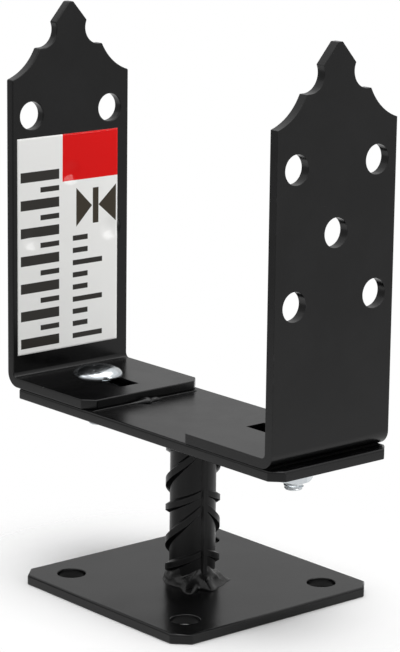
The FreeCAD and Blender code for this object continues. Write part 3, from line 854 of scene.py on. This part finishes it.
def make_label_film():
    """Film on a plane of constant x. Inside a hole's radius it dishes towards the hole, by the depth times
    (1 - share)^2, where the share is the distance from the hole's middle squared, over the radius squared."""
    low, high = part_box("label")
    low, high = low + FILM_LOW_SHIFT, high + FILM_HIGH_SHIFT
    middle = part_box("left_bracket")[0].z + (LOW_ROW + ROW_PITCH) * MM
    row = middle - ROW_PITCH * MM
    y = np.linspace(low.y, high.y, FILM_COLUMNS)[None, :]
    z = np.linspace(low.z, high.z, FILM_ROWS)[:, None]
    x = np.full((FILM_ROWS, FILM_COLUMNS), high.x)
    for hole_y, hole_z, depth in ((0.0, middle, 0.50), (HOLE_SIDE, row, 0.62), (-HOLE_SIDE, row, 0.58)):
        share = np.clip(((y - hole_y) ** 2 + (z - hole_z) ** 2) / HOLE_RADIUS ** 2, 0, 1)
        x = x - depth * MM * (1 - share) ** 2
    points = np.stack(np.broadcast_arrays(x, y, z), axis=-1)
    film = make_piece("label_film", points, grid_faces(FILM_ROWS, FILM_COLUMNS, wrap=False))
    uv = film.data.uv_layers.new(name="print")
    across, up = np.broadcast_arrays((y - low.y) / (high.y - low.y), (z - low.z) / (high.z - low.z))
    corner = np.empty(len(film.data.loops), np.int32)
    film.data.loops.foreach_get("vertex_index", corner)
    flat = np.stack([across.reshape(-1), up.reshape(-1)], axis=-1)[corner]
    uv.data.foreach_set("uv", flat.reshape(-1).astype(np.float32))
    wall = film.modifiers.new("thickness", "SOLIDIFY")
    wall.thickness = FILM_THICK
    wall.offset = -1
    wall.material_offset = 1
    wall.material_offset_rim = 1
    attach(film, "left_side")
    film.visible_glossy = False
    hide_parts("label")
    return film


label_film = make_label_film()

# %% [markdown]
# ### Label print
# The print is a drawing in nodes on the film's own UV map, so it needs no picture: a red field, a measuring
# scale and the sign for sheet thickness, all plain shapes. It is built from two small groups, a box mask
# and a triangle mask, in millimetres across and up the label. Masks are joined with Maximum, and each
# joined mask blends in one ink.

# %% Print helper groups
LABEL_LOW, LABEL_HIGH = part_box("label")
LABEL_WIDE = (LABEL_HIGH.y - LABEL_LOW.y) / MM
LABEL_TALL = (LABEL_HIGH.z - LABEL_LOW.z) / MM
INK_RIM = 0.06
print("label", round(LABEL_WIDE, 1), "x", round(LABEL_TALL, 1), "mm")


def build_box_mask():
    """1 where the smallest of the distances inside the four sides is above 0, with a thin soft rim."""
    group, source, target = new_group(
        "print_box", {"Left": 0.0, "Right": 1.0, "Low": 0.0, "High": 1.0}, {"Mask": "NodeSocketFloat"})
    split = group.nodes.new("ShaderNodeSeparateXYZ")
    group.links.new(source.outputs["Place"], split.inputs[0])
    sides = []
    for axis, first, last in (("X", "Left", "Right"), ("Y", "Low", "High")):
        past = add_math(group, "SUBTRACT", split.outputs[axis], source.outputs[first])
        left = add_math(group, "SUBTRACT", source.outputs[last], split.outputs[axis])
        sides.append(add_math(group, "MINIMUM", past, left))
    inside = add_math(group, "MINIMUM", *sides)
    group.links.new(add_range(group, inside, -INK_RIM, INK_RIM), target.inputs["Mask"])
    return group


def build_wedge_mask():
    """1 inside a triangle with its point at Tip, Middle and its base at Back: where the distance from Middle
    is less than Half times the share of the way from Tip to Back, and that share is below 1."""
    group, source, target = new_group(
        "print_wedge", {"Tip": 0.0, "Back": 1.0, "Middle": 0.0, "Half": 1.0}, {"Mask": "NodeSocketFloat"})
    split = group.nodes.new("ShaderNodeSeparateXYZ")
    group.links.new(source.outputs["Place"], split.inputs[0])
    tip, half = source.outputs["Tip"], source.outputs["Half"]
    past_tip = add_math(group, "SUBTRACT", split.outputs["X"], tip)
    along = add_math(group, "DIVIDE", past_tip, add_math(group, "SUBTRACT", source.outputs["Back"], tip))
    off = add_math(group, "SUBTRACT", split.outputs["Y"], source.outputs["Middle"])
    half_here = add_math(group, "MULTIPLY", along, half)
    slope = add_math(group, "SUBTRACT", half_here, add_math(group, "ABSOLUTE", off))
    end = add_math(group, "MULTIPLY", add_math(group, "SUBTRACT", 1.0, along), half)
    inside = add_math(group, "MINIMUM", slope, end)
    group.links.new(add_range(group, inside, -INK_RIM, INK_RIM), target.inputs["Mask"])
    return group


print_box, print_wedge = build_box_mask(), build_wedge_mask()
print("groups:", print_box.name, print_wedge.name)

# %% Label finish
LONG_PITCH, SMALL_PITCH = 11.6, 5.2
SIGN_MIDDLE = 59.0
DIM_PAPER, PAPER = (0.765, 0.765, 0.75), (0.805, 0.805, 0.79)
BAR_INK, SIGN_INK, RED_INK = (0.030, 0.028, 0.025), (0.042, 0.034, 0.024), (0.64, 0.0015, 0.0015)


def build_label_print():
    """Paper, and over it the scale's bars, the sign and the red field, each blended in by its own mask."""
    material, tree, shader, _ = start_finish("printed_label", specular=0.0)
    sheet = tree.nodes.new("ShaderNodeUVMap")
    sheet.uv_map = "print"
    scale = tree.nodes.new("ShaderNodeMapping")
    scale.inputs["Scale"].default_value = (LABEL_WIDE, LABEL_TALL, 1)
    tree.links.new(sheet.outputs["UV"], scale.inputs["Vector"])
    place = scale.outputs["Vector"]

    def box(left, right, low, high):
        """The mask of a box whose sides are in millimetres from the label's lower left corner."""
        return use_group(tree, print_box, place, Left=left, Right=right, Low=low, High=high)["Mask"]

    def join(masks):
        """The largest of some masks."""
        total = masks[0]
        for mask in masks[1:]:
            total = add_math(tree, "MAXIMUM", total, mask)
        return total

    red = box(22.9, LABEL_WIDE + 1, 70.5, LABEL_TALL + 1)
    long_bars = [box(1.6, 21.2, 2.4 + LONG_PITCH * n, 6.6 + LONG_PITCH * n) for n in range(7)]
    short_bars = [box(11.6, 21.2, 9.2 + LONG_PITCH * n, 11.4 + LONG_PITCH * n) for n in range(6)]
    ends = [43.6 if n % 3 == 0 else 36.0 for n in range(9)]
    small_bars = [box(28.2, end, 3.4 + SMALL_PITCH * n, 5.6 + SMALL_PITCH * n) for n, end in enumerate(ends)]
    left_tip = use_group(tree, print_wedge, place, Tip=38.2, Back=30.0, Middle=SIGN_MIDDLE, Half=8.2)["Mask"]
    right_tip = use_group(tree, print_wedge, place, Tip=41.6, Back=50.8, Middle=SIGN_MIDDLE, Half=7.9)["Mask"]
    sign = [box(38.6, 41.6, 51.4, 66.4), left_tip, right_tip]
    coordinates = tree.nodes.new("ShaderNodeTexCoord").outputs["Object"]
    cloud = add_noise(tree, coordinates, 60.0, detail=3.0)
    paper = blend_colour(tree, cloud, DIM_PAPER, PAPER)
    inked = blend_colour(tree, join(long_bars + short_bars + small_bars), paper, BAR_INK)
    signed = blend_colour(tree, join(sign), inked, SIGN_INK)
    colour = blend_colour(tree, red, signed, RED_INK)
    tree.links.new(colour, shader.inputs["Base Color"])
    tree.links.new(add_range(tree, cloud, 0.3, 0.7, 0.22, 0.30), shader.inputs["Roughness"])
    shader.inputs["Coat Weight"].default_value = 0.30
    shader.inputs["Coat Roughness"].default_value = 0.08
    ripple = add_noise(tree, coordinates, 90.0, detail=2.0)
    add_bump(tree, shader, ripple, 0.15, 0.0003)
    return material


label_film.data.materials.append(build_label_print())
print("finish: printed_label")

# %% [markdown]
# ### Label backing
# Through the covered holes the back of the label shows: plain grey adhesive, mottled where the film sags.
# Solidify gives its new back and rim the second material. A second film behind the first would also do, but
# two faces of one film can't drift apart.

# %% Label backing
def build_label_backing():
    """One noise, the mottle, sets colour, roughness and bump together."""
    material, tree, shader, place = start_finish("label_backing", specular=0.3)
    mottle = add_noise(tree, place, 420.0, detail=4.0, roughness=0.65)
    colour = blend_colour(tree, add_range(tree, mottle, 0.35, 0.7), (0.42, 0.42, 0.40), (0.56, 0.56, 0.53))
    tree.links.new(colour, shader.inputs["Base Color"])
    tree.links.new(add_range(tree, mottle, 0.3, 0.7, 0.55, 0.75), shader.inputs["Roughness"])
    add_bump(tree, shader, mottle, 0.3, 0.0002)
    return material


label_film.data.materials.append(build_label_backing())
print("finish: label_backing")

# %% [markdown]
# ### Glint
# A small lamp stands far behind the right bracket, just above the line that the flat film mirrors, so that
# only the film that sags into the holes catches it. It lights the film alone by light linking, because the
# same lamp would put a pale haze on the black bracket.

# %% Glint on the film
LABEL_MIDDLE = (-0.08, 0, 0.13)
glint = add_lamp("glint", (0.60, 0.60, 0.235), LABEL_MIDDLE, size=0.34, power=3.0)
lit = bpy.data.collections.new("glint_receivers")
lit.objects.link(label_film)
glint.light_linking.receiver_collection = lit
